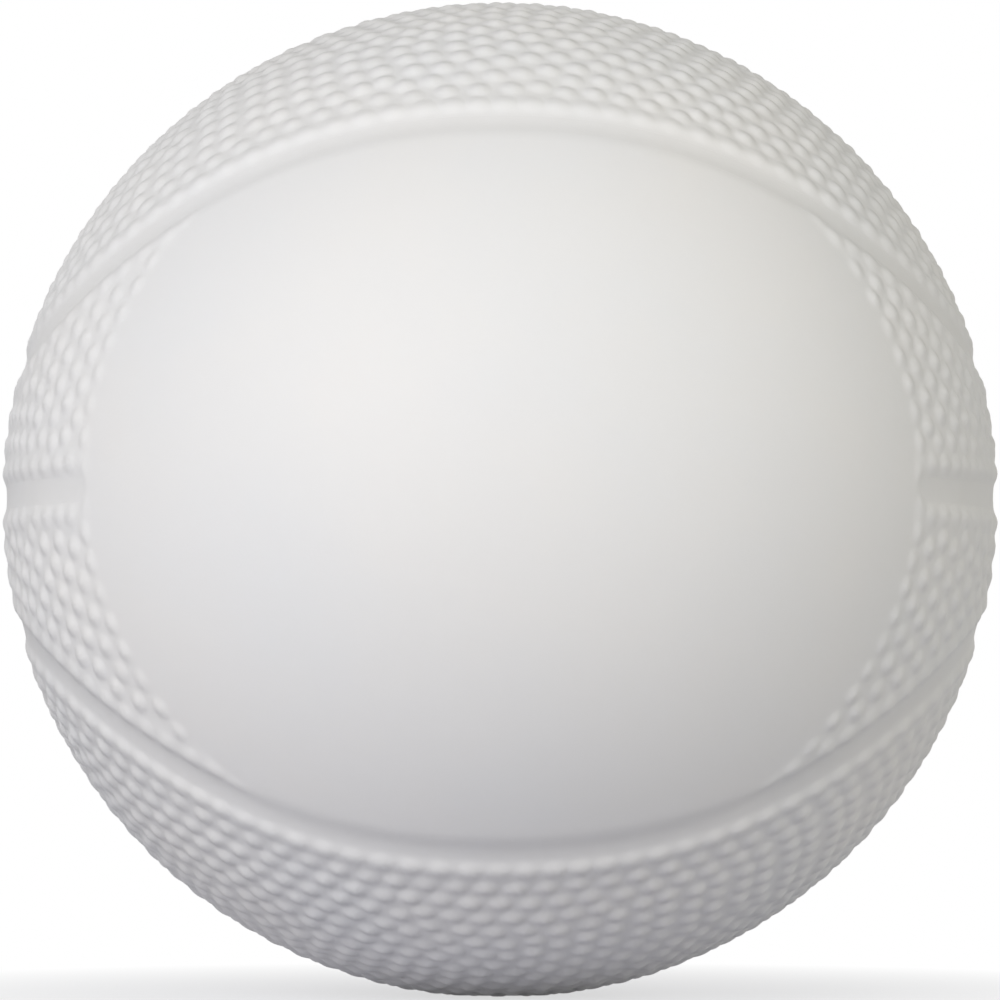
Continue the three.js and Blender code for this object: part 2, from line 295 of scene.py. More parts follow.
def angle_to(points, aim):
    """The angles in radians between directions and an aim."""
    return np.arccos(np.clip(points @ aim, -1, 1))


def room_for_pebbles(points):
    """How far inside the pebbled ground a pebble's middle is, and negative on bare ground."""
    gaps = seam_gaps(points)
    seams = np.abs(gaps).min(axis=0) - CHANNEL_HALF - BEAD_CLEARANCE
    field = field_gap(points, gaps) - FIELD_CLEARANCE
    valve = angle_to(points, valve_axis) * BALL_RADIUS - VALVE_PAD_RADIUS - PEBBLE_PITCH / 2
    return np.minimum(np.minimum(seams, field), valve)


print("room for a pebble at the front's middle:", round(room_for_pebbles(front_middle)[0] / MM, 1), "mm")

# %% [markdown]
# ## Packing the pebbles
#
# A pattern drawn by formula would meet the seams at all angles. Packing lines up with them by
# itself: points start as an even spiral over the ball, those far out on bare ground are dropped,
# and then each pushes its neighbours away while none may stay over an edge. A tree of the points
# finds the close pairs quickly.

# %% Spread and push points
GOLDEN_ANGLE = math.pi * (3 - math.sqrt(5))
START_SCATTER = 0.1 * PEBBLE_PITCH
PACKING_STRENGTH = 0.35


def even_spiral(count, rng):
    """Points spread evenly over the ball along a spiral, each a little off its place."""
    turn = np.arange(count) + 0.5
    height = 1 - 2 * turn / count
    level = np.sqrt(1 - height**2)
    azimuth = turn * GOLDEN_ANGLE
    points = np.stack([level * np.cos(azimuth), level * np.sin(azimuth), height], axis=1)
    return unit(points + rng.normal(0, START_SCATTER / BALL_RADIUS, points.shape))


def tree_of(points):
    """A tree that finds the points near a place."""
    tree = kdtree.KDTree(len(points))
    for number, point in enumerate(points):
        tree.insert(point, number)
    tree.balance()
    return tree


def pushed_apart(points, reach):
    """One round in which every pair closer than reach (radians) pushes itself apart."""
    tree = tree_of(points)
    pairs = [
        (number, found[1])
        for number, point in enumerate(points)
        for found in tree.find_range(point, reach)
        if found[1] > number
    ]
    first, second = np.array(pairs).T
    apart = points[first] - points[second]
    length = np.linalg.norm(apart, axis=1, keepdims=True)
    push = apart / length * (reach - length) * PACKING_STRENGTH
    moved = points.copy()
    np.add.at(moved, first, push)
    np.add.at(moved, second, -push)
    return unit(moved)


print("the spiral turns by", round(math.degrees(GOLDEN_ANGLE), 1), "degrees from point to point")

# %% [markdown]
# A point that was pushed over an edge has to come back. Two tiny side steps measure how its room
# changes, which gives the slope, and one step along the slope brings it to the edge again.

# %% Hold points inside
SLOPE_NUDGE = 0.05 * MM
LEAST_SLOPE = 0.2
SLANT = [0.3, 0.5, 0.8]


def held_inside(points):
    """Points on bare ground step back along the slope of the room that they have."""
    nudge = SLOPE_NUDGE / BALL_RADIUS
    room = room_for_pebbles(points)
    out = np.nonzero(room < 0)[0]
    strays = points[out]
    sideways = unit(np.cross(strays, SLANT))
    upward = np.cross(strays, sideways)
    slopes = [
        (room_for_pebbles(unit(strays + nudge * way)) - room[out]) / nudge for way in (sideways, upward)
    ]
    slope = slopes[0][:, None] * sideways + slopes[1][:, None] * upward
    steepness = np.maximum((slope**2).sum(axis=1, keepdims=True), (LEAST_SLOPE * BALL_RADIUS) ** 2)
    moved = points.copy()
    moved[out] = unit(strays - room[out][:, None] * slope / steepness)
    return moved


print("slopes are measured over", round(SLOPE_NUDGE / MM, 2), "mm")

# %% [markdown]
# Seventy rounds settle the pebbles into rows. The reach is a little more than their pitch, so that
# each feels its six neighbours. A seed fixes where they start, so every run packs them alike.

# %% Pack the pebbles
PACKING_ROUNDS = 70
PACKING_REACH = 1.25
PEBBLE_SEED = 7
STRAY_LIMIT = 0.35 * PEBBLE_PITCH


def packed_pebbles():
    """The middles of all pebbles, as unit directions."""
    rng = np.random.default_rng(PEBBLE_SEED)
    cell = PEBBLE_PITCH**2 * math.sqrt(3) / 2
    points = even_spiral(round(4 * math.pi * BALL_RADIUS**2 / cell), rng)
    points = points[room_for_pebbles(points) > -STRAY_LIMIT]
    reach = PACKING_REACH * PEBBLE_PITCH / BALL_RADIUS
    for _ in range(PACKING_ROUNDS):
        points = held_inside(pushed_apart(points, reach))
    return points


pebbles = packed_pebbles()
pebble_tree = tree_of(pebbles)
print(len(pebbles), "pebbles packed")

# %% [markdown]
# ## The height of the cover
#
# One function gives the radius of the finished surface in any direction: the base, plus the dome
# of the nearest pebble, minus the channel, minus the rounding at the valve's hole. Beside a channel
# the first row of pebbles grows out of a smooth lip, which catches the light as one line. The
# levels are shares of a pebble's height. Every panel and strip reads this function, so neighbours
# meet at the same height without being fitted.

# %% Surface radius
FIELD_FADE = 2.4 * MM
FIELD_LEAD = 0.3 * MM
FIELD_LEVEL = 0.25
GROUND_FADE = 8.0 * MM
PAD_LEVEL = 0.9
BEAD_SPREAD = 0.50
LIP_PLACE = 3.0 * MM
LIP_NEAR = 1.9 * MM
LIP_FAR = 3.4 * MM
LIP_LEVEL = 0.45
SHOULDER_START = 0.2 * MM
SHOULDER_WIDTH = 3.2 * MM
VALVE_HOLE_RADIUS = 4.7 * MM
RIM_ROUNDING = 0.7 * MM
RIM_DROP = 0.18 * MM
LOWEST_PEBBLE = 0.72

pebble_rng = np.random.default_rng(PEBBLE_SEED + 1)
pebble_lift = pebble_rng.uniform(LOWEST_PEBBLE, 1.0, len(pebbles))


def pebble_domes(points):
    """The height of the pebbles as a share of their full height."""
    found = [pebble_tree.find(point)[1:] for point in points]
    number = np.array([item[0] for item in found])
    distance = np.array([item[1] for item in found]) * BALL_RADIUS / (BEAD_SPREAD * PEBBLE_PITCH)
    return pebble_lift[number] * np.clip(1 - distance**2, 0, 1) ** 2


def surface_radius(points):
    """The finished surface's distance from the ball's centre, for unit directions."""
    gaps = seam_gaps(points)
    nearest = np.abs(gaps).min(axis=0)
    shoulder = smooth_step((nearest - SHOULDER_START) / SHOULDER_WIDTH)
    off_lip = nearest - LIP_PLACE
    lip_reach = np.where(off_lip < 0, LIP_NEAR, LIP_FAR)
    lip = LIP_LEVEL * np.clip(1 - (off_lip / lip_reach) ** 2, 0, 1) ** 2
    raised = 1 - (1 - lip) * (1 - pebble_domes(points))
    outside = field_gap(points, gaps)
    ground = FIELD_LEVEL * (1 - smooth_step(outside / GROUND_FADE))
    grown = smooth_step((outside + FIELD_LEAD) / FIELD_FADE) * raised
    from_valve = angle_to(points, valve_axis) * BALL_RADIUS
    pad = 1 - smooth_step((from_valve - VALVE_PAD_RADIUS) / FIELD_FADE)
    domes = np.maximum(ground + (1 - ground) * grown, PAD_LEVEL * pad)
    rim = RIM_DROP * np.clip(1 - (from_valve - VALVE_HOLE_RADIUS) / RIM_ROUNDING, 0, 1) ** 2
    return base_radius + PEBBLE_HEIGHT * domes * shoulder - channel_depth(gaps, points) - rim


print("front's middle at radius", round(surface_radius(front_middle)[0] / MM, 2), "mm")

# %% [markdown]
# ## Pushing a sheet back from a seam
#
# A panel starts as a flat grid that is wrapped onto the ball with its borders exactly on the seam
# lines. The real panel ends a strip's half width short of them. So each point near a seam slides
# straight away from it: by the full half width on the line, and by less and less further in, which
# keeps the grid even.

# %% Wrap and push
PUSH_REACH = 9 * MM


def pushed_back(points, seam, side, amount):
    """Slides points away from a seam, towards its positive or negative side."""
    foot, across, distance = from_seam(points, seam)
    inward = np.maximum(distance * side, 0)
    moved = (inward + amount * np.clip(1 - inward / PUSH_REACH, 0, 1)) * side / BALL_RADIUS
    slid = np.cos(moved)[:, None] * foot + np.sin(moved)[:, None] * across
    return np.where((inward < PUSH_REACH)[:, None], slid, points)


def notch_half(azimuth, half):
    """Half the width of the equator's opening in the front panel, with a round end."""
    short = np.clip((NOTCH_START - np.abs(azimuth)) * BALL_RADIUS, 0, half)
    return np.sqrt(half**2 - short**2)


print("the notch starts", round(math.degrees(NOTCH_START), 1), "degrees from the front")

# %% [markdown]
# ## Belts and caps
#
# Seen flat, a belt lies between the equator and a loop. Its columns are meridians and its rows are
# shares of the loop's elevation. The front panel is two belts, welded where the equator's channel
# is missing. A cap is half of the ground inside a loop: a rectangle is bent to a half disc, whose
# two corners stay square, and the disc is laid on the pole.

# %% Lay out belts and caps
FRONT_COLUMNS = 400
FRONT_COARSE_SHARE = 0.12
FRONT_COARSE_AZIMUTH = 38.0


def front_spread(across):
    """Azimuths in degrees: few columns over the smooth field, and many where the pebbles are."""
    share = np.abs(across)
    inner = share / FRONT_COARSE_SHARE * FRONT_COARSE_AZIMUTH
    outer_share = (share - FRONT_COARSE_SHARE) / (1 - FRONT_COARSE_SHARE)
    outer = FRONT_COARSE_AZIMUTH + outer_share * (90 - FRONT_COARSE_AZIMUTH)
    return np.sign(across) * np.where(share < FRONT_COARSE_SHARE, inner, outer)


def lay_belt(across, up, margin, front, top):
    """A belt's directions, for across and up running from -1 to 1."""
    turn = np.radians(front_spread(across)) if front else math.pi + across * math.pi / 2
    points = direction(turn, top * (up + 1) / 2 * loop_elevation(turn))
    points = pushed_back(points, "upper loop" if top > 0 else "lower loop", -1, margin)
    opening = notch_half(turn, margin) if front else np.full_like(turn, margin)
    points = pushed_back(points, "equator", top, opening)
    return pushed_back(points, "meridian", -1 if front else 1, margin)


def lay_cap(across, up, margin, front, top):
    """A half cap's directions."""
    rise = (up + 1) / 2
    disc_x = across * np.sqrt(1 - rise**2 / 2)
    disc_y = rise * np.sqrt(1 - across**2 / 2)
    turn = np.arctan2(disc_x, disc_y if front else -disc_y)
    tilt = np.hypot(disc_x, disc_y) * (math.pi / 2 - loop_elevation(turn))
    points = direction(turn, top * (math.pi / 2 - tilt))
    points = pushed_back(points, "upper loop" if top > 0 else "lower loop", 1, margin)
    return pushed_back(points, "meridian", -1 if front else 1, margin)


corner = lay_belt(np.array([-1.0]), np.array([-1.0]), STRIP_HALF, False, 1)[0] * BALL_RADIUS / MM
print("a back belt's lower corner is at", [round(float(part), 2) for part in corner], "mm")

# %% [markdown]
# ## From sheet to panel
#
# The outer sheet carries the detail, so its cells are about 0.4 mm wide. The hidden inner face needs
# none, and a sheet ten times coarser serves. The outer border is extruded down to the carcass, and
# a bridge joins it to the coarse sheet's border, which makes a closed solid.

# %% Sheet helpers
COARSENESS = 10
INNER_INSET = 0.5 * MM
WELD = 0.002 * MM
HARD_ANGLE = math.radians(35)


def open_edges(bm):
    return [edge for edge in bm.edges if edge.is_boundary]


def new_verts(made):
    return [item for item in made["geom"] if isinstance(item, bmesh.types.BMVert)]


def to_seat(verts):
    """Moves points straight in to where the cover lies on the carcass."""
    for vert in verts:
        vert.co = vert.co.normalized() * seat_radius


def finished(bm, name):
    """The bmesh as a smooth-shaded object in the scene, with its hard edges marked."""
    bmesh.ops.recalc_face_normals(bm, faces=bm.faces)
    for face in bm.faces:
        face.smooth = True
    for edge in bm.edges:
        if edge.calc_face_angle(0) > HARD_ANGLE:
            edge.smooth = False
    mesh = bpy.data.meshes.new(name)
    bm.to_mesh(mesh)
    bm.free()
    piece = bpy.data.objects.new(name, mesh)
    bpy.context.scene.collection.objects.link(piece)
    return piece


print("inner sheets are", COARSENESS, "times coarser")

# %% [markdown]
# The panel over the valve has a round hole. Cutting a circle out of a square grid leaves a ragged
# edge, so the grid gives way instead: a block of cells is taken out round the valve, and the rings
# of cells about it are drawn into circles that fade back into the grid.

# %% The valve's hole in a sheet
HOLE_BLOCK = 12
HOLE_FADE = 1.5
HOLE_ZONE = 2 * VALVE_HOLE_RADIUS
LEAST_FACING = 0.1

valve_east = np.array([-1.0, 0.0, 0.0])
valve_north = np.cross(valve_axis, valve_east)


def round_hole(points, columns, block, radius):
    """The points with the rings about the valve made round, and each point's ring number."""
    index = np.arange(len(points))
    nearest = int(np.argmax(points @ valve_axis))
    across = index % (columns + 1) - nearest % (columns + 1)
    up = index // (columns + 1) - nearest // (columns + 1)
    ring = np.maximum(np.abs(across), np.abs(up)) / block
    turn = np.arctan2(up, across)
    ahead = np.maximum(points @ valve_axis, LEAST_FACING)
    true_east = points @ valve_east / ahead * BALL_RADIUS
    true_north = points @ valve_north / ahead * BALL_RADIUS
    share = smooth_step((ring - 1) / HOLE_FADE)
    east = radius * ring * np.cos(turn) * (1 - share) + true_east * share
    north = radius * ring * np.sin(turn) * (1 - share) + true_north * share
    offset = east[:, None] * valve_east + north[:, None] * valve_north
    drawn = unit(valve_axis + offset / BALL_RADIUS)
    return np.where((share < 1)[:, None], drawn, points), ring


def by_valve(edge):
    """Whether an open edge is on the valve's hole."""
    towards = edge.verts[0].co.normalized().dot(Vector(valve_axis))
    return towards > math.cos(HOLE_ZONE / BALL_RADIUS)


print("valve's hole", round(2 * VALVE_HOLE_RADIUS / MM, 1), "mm wide,", 2 * HOLE_BLOCK, "cells across")

# %% [markdown]
# ## The panel builder
#
# Every sheet starts as a flat grid. A laying function turns its places into directions, a radius
# for each direction gives the height, and the cells in the valve's hole are cut away.

# %% Lay a sheet
def laid_sheet(bm, columns, rows, lay, radius_of, hole_block=0, hole_radius=0):
    """A flat grid wrapped onto the ball by a laying function, with the valve's hole if asked."""
    verts = bmesh.ops.create_grid(bm, x_segments=columns, y_segments=rows, size=1)["verts"]
    flat = np.array([vert.co[:2] for vert in verts])
    points = lay(flat[:, 0], flat[:, 1])
    ring = np.ones(len(verts))
    if hole_block:
        points, ring = round_hole(points, columns, hole_block, hole_radius)
    for vert, where in zip(verts, points * np.reshape(radius_of(points), (-1, 1))):
        vert.co = where
    cut = [vert for vert, number in zip(verts, ring) if number < 1]
    bmesh.ops.delete(bm, geom=cut, context="VERTS")
    return [vert for vert in verts if vert.is_valid]


trial = bmesh.new()
laid_sheet(trial, 4, 3, direction, lambda points: BALL_RADIUS)
print("a trial sheet of 4 by 3 cells has", len(trial.verts), "points")
trial.free()

# %% [markdown]
# A panel is an outer sheet, or two that are welded where they touch. Its border is extruded down, a
# coarse sheet is laid in it, and a bridge joins the borders. The valve's panel has two pairs of
# borders, which are bridged one by one.

# %% Build a panel
def make_panel(name, layings, columns, rows, with_valve=False):
    """A closed panel whose outer face is one sheet, or two that are welded where they meet."""
    bm = bmesh.new()
    block = HOLE_BLOCK if with_valve else 0
    for lay in layings:
        laid_sheet(
            bm,
            columns,
            rows,
            lambda across, up: lay(across, up, STRIP_HALF),
            surface_radius,
            block,
            VALVE_HOLE_RADIUS,
        )
    bmesh.ops.remove_doubles(bm, verts=bm.verts, dist=WELD)
    to_seat(new_verts(bmesh.ops.extrude_edge_only(bm, edges=open_edges(bm))))
    under = []
    inset = STRIP_HALF + INNER_INSET
    for lay in layings:
        under += laid_sheet(
            bm,
            columns // COARSENESS,
            rows // COARSENESS,
            lambda across, up: lay(across, up, inset),
            lambda points: seat_radius,
            block // HOLE_BLOCK,
            VALVE_HOLE_RADIUS + INNER_INSET,
        )
    bmesh.ops.remove_doubles(bm, verts=under, dist=WELD)
    loops = open_edges(bm)
    for near in {by_valve(edge) for edge in loops}:
        bmesh.ops.bridge_loops(bm, edges=[edge for edge in loops if by_valve(edge) == near])
    return finished(bm, name)


print("a panel is", round((base_radius - seat_radius) / MM, 2), "mm thick between its pebbles")

# %% [markdown]
# ## The seven panels
#
# The front panel is one piece of rubber, as high as both belts at the back together, because the
# smooth field takes the place of its middle seam. The four caps are alike, but each is made by
# itself, since the pebbles don't repeat. Each piece stands for the plain solid of its name.

# %% Make the panels
FRONT_CELLS = (FRONT_COLUMNS, 90)
BELT_CELLS = (480, 130)
CAP_CELLS = (420, 130)
SIDES = {"upper": 1, "lower": -1}

covers = {}


def laying(kind, front, top):
    """A laying function for one side of the ball."""
    return lambda across, up, margin: kind(across, up, margin, front, top)


halves = [laying(lay_belt, True, top) for top in SIDES.values()]
covers["front_panel"] = make_panel("front_panel_rubber", halves, *FRONT_CELLS)
for level, top in SIDES.items():
    belt = f"back_{level}_strip_panel"
    covers[belt] = make_panel(
        f"{belt}_rubber", [laying(lay_belt, False, top)], *BELT_CELLS, with_valve=level == "upper"
    )
    for face in ("front", "back"):
        cap = f"{face}_{level}_cap_panel"
        layings = [laying(lay_cap, face == "front", top)]
        covers[cap] = make_panel(f"{cap}_rubber", layings, *CAP_CELLS)
for name, piece in covers.items():
    print(name, sum(len(face.vertices) - 2 for face in piece.data.polygons), "triangles")

# %% [markdown]
# ## The seam strips
#
# In the bottom of each channel a strip of the same rubber closes the gap between two panels. The
# meridian's strip is a whole ring, and the others butt against its edges, pushed back like the
# panels. Each is a narrow grid along its seam, a hair narrower than the gap between the panels.

# %% Lay out strips
STRIP_FIT = 0.004 * MM
STRIP_CELL = 0.7 * MM
STRIP_CELLS_ACROSS = 10


def beside(foot, sideways, offset):
    """Directions at a distance from a seam's own points."""
    angle = (offset / BALL_RADIUS)[:, None]
    return np.cos(angle) * foot + np.sin(angle) * sideways


def lay_meridian_strip(along, across):
    turn = math.pi * along
    foot = np.stack([np.sin(turn), 0 * turn, np.cos(turn)], axis=1)
    return beside(foot, np.array([[0.0, 1.0, 0.0]]), across * (STRIP_HALF - STRIP_FIT))


def lay_loop_strip(along, across, front, top):
    azimuth = along * math.pi / 2 + (0 if front else math.pi)
    foot = loop_point(azimuth)
    way = loop_point(azimuth + FOOT_NUDGE) - loop_point(azimuth - FOOT_NUDGE)
    points = beside(foot, unit(np.cross(foot, way)), across * (STRIP_HALF - STRIP_FIT))
    return pushed_back(points * [1, 1, top], "meridian", -1 if front else 1, STRIP_HALF)


def lay_equator_strip(along, across, start, end, front):
    azimuth = start + (end - start) * (along + 1) / 2
    half = notch_half(azimuth, STRIP_HALF) if front else STRIP_HALF
    points = direction(azimuth, across * np.maximum(half - STRIP_FIT, 0) / BALL_RADIUS)
    return pushed_back(points, "meridian", -1 if front else 1, STRIP_HALF)


turn_cells = 2 * math.pi * BALL_RADIUS / STRIP_CELL
print("a full turn of strip has", round(turn_cells), "cells")

# %% [markdown]
# ## Cutting the strips
#
# A strip takes the surface's height and is extruded down to the carcass. The equator's short strips
# at the front end in round notches of the front panel. They step along with that panel's columns,
# counted back from the meridian, so both outlines have the same corners.

# %% Make the strips
def make_strip(name, lay, cells):
    """A closed strip with so many cells along its seam."""
    bm = bmesh.new()
    laid_sheet(bm, round(cells), STRIP_CELLS_ACROSS, lay, surface_radius)
    bmesh.ops.remove_doubles(bm, verts=bm.verts, dist=WELD)
    to_seat(new_verts(bmesh.ops.extrude_face_region(bm, geom=bm.faces[:])))
    return finished(bm, name)


quarter = math.pi / 2
fine_columns = (1 - FRONT_COARSE_SHARE) * FRONT_COLUMNS / 2
column_step = math.radians(90 - FRONT_COARSE_AZIMUTH) / fine_columns
notch_cells = math.ceil((quarter - NOTCH_START + STRIP_HALF / BALL_RADIUS) / column_step)
notch_tip = quarter - notch_cells * column_step
strips = {"meridian_strip": make_strip("meridian_strip_rubber", lay_meridian_strip, turn_cells)}
for place, start, end, cells in (
    ("back", quarter, 3 * quarter, turn_cells / 2),
    ("right", notch_tip, quarter, notch_cells),
    ("left", -quarter, -notch_tip, notch_cells),
):
    node = f"equator_{place}_strip"
    strips[node] = make_strip(
        f"{node}_rubber",
        lambda along, across: lay_equator_strip(along, across, start, end, place != "back"),
        cells,
    )
for level, top in SIDES.items():
    for face in ("front", "back"):
        node = f"{level}_loop_{face}_strip"
        strips[node] = make_strip(
            f"{node}_rubber",
            lambda along, across: lay_loop_strip(along, across, face == "front", top),
            turn_cells / 2,
        )
print(len(strips), "strips,", sum(len(piece.data.polygons) for piece in strips.values()), "faces")

# %% [markdown]
# ## The needle valve
#
# At the back, a soft black plug sits in a flanged rubber housing that comes up through all layers.
# Both are round, so each is a profile spun about an axis. The profiles are (radius, height) pairs in
# millimetres, with the height counted from the ball's centre. Rubber has no sharp edges, so every
# hard ring gets a small bevel. Last, the turned piece is tilted onto the valve's own axis.

# %% Valve helper
TURN_STEPS = 96
RUBBER_EDGE = 0.12 * MM
FACE = valve_face / MM


def turned(name, profile, closed):
    """A round piece from its profile, which is a closed ring or runs from axis to axis."""
    bm = bmesh.new()
    verts = [bm.verts.new((radius * MM, 0, height * MM)) for radius, height in profile]
    pairs = zip(verts, verts[1:] + verts[:1] if closed else verts[1:])
    edges = [bm.edges.new(pair) for pair in pairs]
    bmesh.ops.spin(
        bm,
        geom=verts + edges,
        axis=(0, 0, 1),
        cent=(0, 0, 0),
        angle=2 * math.pi,
        steps=TURN_STEPS,
        use_merge=True,
    )
    bmesh.ops.remove_doubles(bm, verts=bm.verts, dist=WELD)
    bmesh.ops.recalc_face_normals(bm, faces=bm.faces)
    hard = [edge for edge in bm.edges if edge.calc_face_angle(0) > HARD_ANGLE]
    bmesh.ops.bevel(
        bm,
        geom=hard,
        offset=RUBBER_EDGE,
        segments=3,
        profile=0.5,
        affect="EDGES",
        material=-1,
        clamp_overlap=True,
    )
    bmesh.ops.remove_doubles(bm, verts=bm.verts, dist=WELD)
    tilt = Vector((0, 0, 1)).rotation_difference(Vector(valve_axis)).to_matrix()
    bmesh.ops.rotate(bm, verts=bm.verts, cent=(0, 0, 0), matrix=tilt)
    return finished(bm, name)


print("valve face", round(FACE, 2), "mm from the centre")

# %% [markdown]
# ## Housing and core
#
# The housing is a ring, so its profile is closed: a collar up to the cover's face, a wide flange
# that bonds to the bladder, and a stem that narrows below. The core's profile runs from axis to
# axis. Its needle hole is blind, because a shut slit further down keeps the air in.

# %% Housing and core
housing_profile = [
    (3.4, FACE - 1.2),
    (3.4, FACE - 0.15),
    (3.55, FACE),
    (4.4, FACE),
    (4.4, 59.0),
    (4.4, 58.6),
    (8.6, 58.1),
    (9.0, 57.9),
    (9.0, 57.3),
    (4.4, 56.6),
    (4.1, 55.9),
    (4.1, 52.5),
    (3.45, 47.1),
    (1.5, 47.1),
    (1.5, 48.8),
    (2.8, 48.8),
    (2.8, 52.8),
    (2.2, 52.8),
    (2.2, FACE - 1.2),
]
core_profile = [
    (0, FACE - 10),
    (0.8, FACE - 10),
    (0.8, FACE - 0.3),
    (1.15, FACE - 0.06),
    (1.5, FACE - 0.06),
    (1.6, FACE - 0.16),
    (1.85, FACE - 0.16),
    (1.95, FACE - 0.02),
    (3.1, FACE - 0.05),
    (3.1, FACE - 0.9),
    (1.9, FACE - 0.9),
    (1.9, 52.5),
    (2.5, 52.5),
    (2.5, 50.8),
    (1.65, 49.1),
    (0, 49.1),
]
valve_housing = turned("valve_housing_rubber", housing_profile, True)
valve_core = turned("valve_core_rubber", core_profile, False)
print("valve faces:", len(valve_housing.data.polygons), "and", len(valve_core.data.polygons))

# %% [markdown]
# ## Writing a finish
#
# A material is a tree of nodes, and its sums read best as sums. So a small class wraps a socket, and
# Python's operators on it add Math nodes. The reflected forms let a sum start with a plain number.

# %% A socket with operators
class Amount:
    """A node's output, which Python's operators work on where it is a number."""

    def __init__(self, finish, output):
        self.finish = finish
        self.output = output

    def __add__(self, other):
        return self.finish.calculate("ADD", self, other)

    def __sub__(self, other):
        return self.finish.calculate("SUBTRACT", self, other)

    def __rsub__(self, other):
        return self.finish.calculate("SUBTRACT", other, self)

    def __mul__(self, other):
        return self.finish.calculate("MULTIPLY", self, other)

    def over(self, low, high):
        """This amount's place between low and high, held within 0 and 1."""
        return self.finish.calculate("MULTIPLY", self - low, 1 / (high - low), clamp=True)

    __radd__ = __add__
    __rmul__ = __mul__


operators = [name.strip("_") for name in vars(Amount) if name.endswith(("add__", "sub__", "mul__"))]
print("operators on amounts:", *operators)

# %% [markdown]
# The second class is the finish that is being written. One method adds every node, and the others
# are short names for the nodes that this ball needs often.

# %% A finish and its nodes
class Finish:
    """A material that is being written."""

    def __init__(self, name):
        self.material = bpy.data.materials.new(name)
        self.material.use_nodes = True
        self.tree = self.material.node_tree
        self.tree.nodes.clear()
        self.place = self.add("ShaderNodeTexCoord", {}, {}, "Object")

    def add(self, kind, settings, inputs, output=0):
        """Adds a node and returns one of its outputs, or nothing where a node has none."""
        node = self.tree.nodes.new(kind)
        for key, value in settings.items():
            setattr(node, key, value)
        for key, value in inputs.items():
            if isinstance(value, Amount):
                self.tree.links.new(value.output, node.inputs[key])
            else:
                node.inputs[key].default_value = value
        return Amount(self, node.outputs[output]) if node.outputs else None

    def calculate(self, operation, first, second, clamp=False):
        """Two numbers put through a Math node."""
        settings = {"operation": operation, "use_clamp": clamp}
        return self.add("ShaderNodeMath", settings, {0: first, 1: second})

    def noise(self, size, detail):
        """Cloudy noise whose patches are about this size in metres."""
        inputs = {"Vector": self.place, "Scale": 1 / size, "Detail": detail}
        return self.add("ShaderNodeTexNoise", {}, inputs)

    def carried(self, name):
        """A number that the mesh carries at each point."""
        return self.add("ShaderNodeAttribute", {"attribute_name": name}, {}, "Fac")

    def blend(self, share, first, second):
        """Two colours mixed. A Mix node has them at its sockets 6 and 7, and the result at 2."""
        return self.add("ShaderNodeMix", {"data_type": "RGBA"}, {0: share, 6: first, 7: second}, 2)

    def bump(self, height, depth, strength, under=None):
        """A normal for a relief of this depth in metres, over another normal if there is one."""
        inputs = {"Height": height, "Distance": depth, "Strength": strength}
        if under:
            inputs["Normal"] = under
        return self.add("ShaderNodeBump", {}, inputs)

    def close(self, **inputs):
        """Ends the material with a Principled surface. A space in a socket's name is a _ here."""
        named = {key.replace("_", " "): value for key, value in inputs.items()}
        surface = self.add("ShaderNodeBsdfPrincipled", {}, named)
        self.add("ShaderNodeOutputMaterial", {}, {"Surface": surface})
        return self.material


print("a finish has the methods", *(name for name in vars(Finish) if not name.startswith("_")))

# %% [markdown]
# ## White cover rubber
#
# The cover is white natural rubber straight from the mould: matt, nearly even, with soft patches
# that are a little warmer or cooler, and the faint grain of the blasted mould. Handling leaves the
# tops of the pebbles slightly smoother. The channels are painted slightly greyer in wisps, which is
# painted shade in the recesses. The mesh carries how high each point stands, so those two can follow
# the real shape.

# %% Carry the relief
def carry_relief(piece):
    """Stores 0 in the depth of a channel, 0.5 on plain ground and 1 on a pebble's top."""
    flat = np.empty(len(piece.data.vertices) * 3)
    piece.data.vertices.foreach_get("co", flat)
    height = np.linalg.norm(flat.reshape(-1, 3), axis=1) - base_radius
    relief = 0.5 + 0.5 * np.where(height > 0, height / PEBBLE_HEIGHT, height / CHANNEL_DEPTH)
    layer = piece.data.attributes.new("relief", "FLOAT", "POINT")
    layer.data.foreach_set("value", np.clip(relief, 0, 1))


for piece in [*covers.values(), *strips.values()]:
    carry_relief(piece)
print("relief stored on", len(covers) + len(strips), "pieces")

# %% [markdown]
# Panels and strips come from two batches of the same rubber, so one function makes both finishes
# from three near whites: the base, a warmer and a cooler one. Noise in four sizes serves colour, the
# painted shade in the channels, gloss and grain.

# %% White rubber
# Painted shade: the channels' colour is the base colour times this share.
CHANNEL_SHADE_TONE = 0.93


def white_rubber(name, base, warm, cool):
    """A white rubber with warm and cool patches, painted shade in the channels and a fine grain."""
    finish = Finish(name)
    relief = finish.carried("relief")
    patches = finish.noise(26 * MM, 3)
    wisps = finish.noise(7 * MM, 4)
    grain = finish.noise(0.35 * MM, 2)
    skin = finish.noise(1.1 * MM, 2)
    colour = finish.blend(patches.over(0.35, 0.65), warm, cool)
    colour = finish.blend(wisps.over(0.3, 0.7) * 0.5, colour, base)
    # Painted shade: the low ground of the channels is darkened towards a greyer copy of the base, in
    # wisps.
    channel_shade = (1 - relief.over(0.1, 0.5)) * wisps.over(0.3, 0.75) * 0.35
    colour = finish.blend(channel_shade, colour, tuple(part * CHANNEL_SHADE_TONE for part in base[:3]) + (1,))
    rough = 0.58 + patches * 0.08 + grain * 0.06 - relief.over(0.7, 1.0) * 0.05
    normal = finish.bump(skin, 0.02 * MM, 0.6)
    normal = finish.bump(grain, 0.012 * MM, 0.6, normal)
    return finish.close(Base_Color=colour, Roughness=rough, Normal=normal, IOR=1.5)


cover_rubber = white_rubber(
    "white_cover_rubber", (0.80, 0.793, 0.79, 1), (0.81, 0.80, 0.79, 1), (0.793, 0.793, 0.797, 1)
)
seam_rubber = white_rubber(
    "white_seam_rubber", (0.795, 0.787, 0.783, 1), (0.803, 0.793, 0.783, 1), (0.787, 0.787, 0.79, 1)
)
print("materials:", cover_rubber.name, seam_rubber.name)

